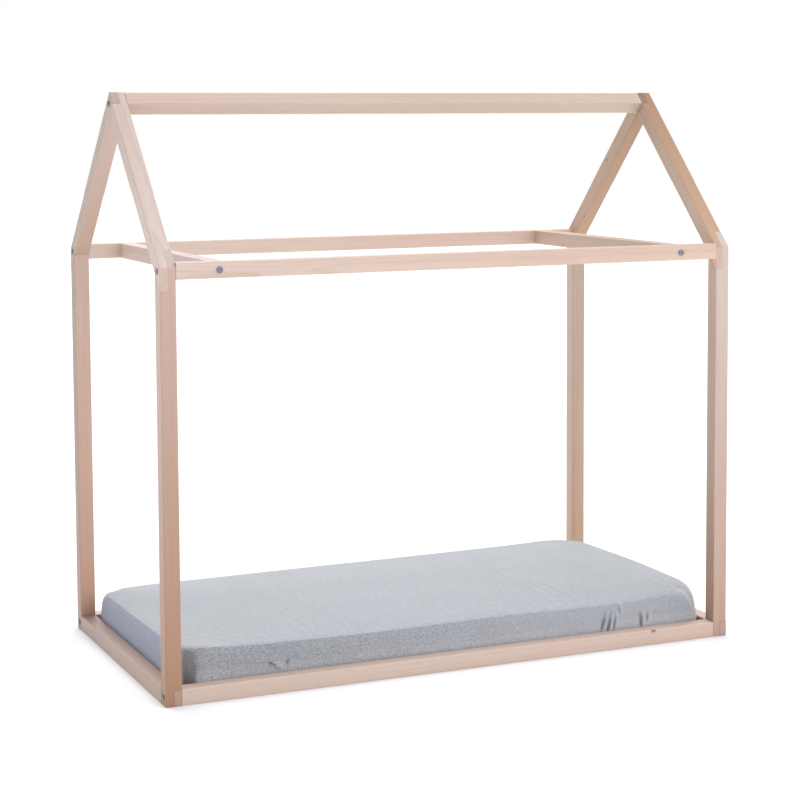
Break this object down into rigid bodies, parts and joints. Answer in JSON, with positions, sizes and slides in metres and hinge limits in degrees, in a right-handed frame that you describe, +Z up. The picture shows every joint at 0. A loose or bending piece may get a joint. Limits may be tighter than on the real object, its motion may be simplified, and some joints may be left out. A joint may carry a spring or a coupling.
{
  "type": "house frame bed",
  "caption": "Child's floor bed in an open timber house frame with a pitched ridge, half-lapped gables, eaves rails, slatted base and a mattress in a fitted sheet.",
  "frame": {"origin": "on the floor, under the middle of the bed", "axes": "+X along the bed's length to the right as seen from the front, -Y the front, +Z up"},
  "size_m": [1.4892, 0.7892, 1.385],
  "materials": {
    "beech": "clear satin lacquer on pale pinkish beech",
    "base_wood": "planed, unfinished",
    "dowel_wood": "plain fluted beech",
    "zinc_steel": "bright zinc plate",
    "screw_steel": "zinc plate",
    "foam": "open-cell foam, off-white",
    "ticking": "white knitted cover",
    "sheet_jersey": "brushed heather jersey, light blue-grey",
    "elastic": "woven elastic band"
  },
  "bodies": {
    "bed_frame": {"back_cross_bar_barrel_nuts": "zinc_steel", "back_cross_bar_bolts": "zinc_steel", "back_cross_bar_dowels": "dowel_wood", "back_eaves_rail": "beech", "back_ledger_screws": "screw_steel", "back_side_rail": "beech", "back_slat_ledger": "base_wood", "front_cross_bar_barrel_nuts": "zinc_steel", "front_cross_bar_bolts": "zinc_steel", "front_cross_bar_dowels": "dowel_wood", "front_eaves_rail": "beech", "front_ledger_screws": "screw_steel", "front_side_rail": "beech", "front_slat_ledger": "base_wood", "left_back_post": "beech", "left_back_rafter": "beech", "left_cross_bar": "beech", "left_end_rail": "beech", "left_front_post": "beech", "left_front_rafter": "beech", "left_gable_barrel_nuts": "zinc_steel", "left_gable_bolts": "zinc_steel", "left_gable_dowels": "dowel_wood", "ridge_beam": "beech", "right_back_post": "beech", "right_back_rafter": "beech", "right_cross_bar": "beech", "right_end_rail": "beech", "right_front_post": "beech", "right_front_rafter": "beech", "right_gable_barrel_nuts": "zinc_steel", "right_gable_bolts": "zinc_steel", "right_gable_dowels": "dowel_wood", "slat_01": "base_wood", "slat_02": "base_wood", "slat_03": "base_wood", "slat_04": "base_wood", "slat_05": "base_wood", "slat_06": "base_wood", "slat_07": "base_wood", "slat_08": "base_wood", "slat_09": "base_wood", "slat_10": "base_wood", "slat_11": "base_wood", "slat_12": "base_wood", "slat_screws": "screw_steel"},
    "mattress": {"mattress_cover": "ticking", "mattress_core": "foam", "fitted_sheet": "sheet_jersey", "sheet_elastic": "elastic"}
  },
  "joints": [
    {"name": "mattress_lift", "type": "slide", "parent": "bed_frame", "child": "mattress", "axis": [0, 0, 1], "range_m": [0, 0.3]}
  ]
}
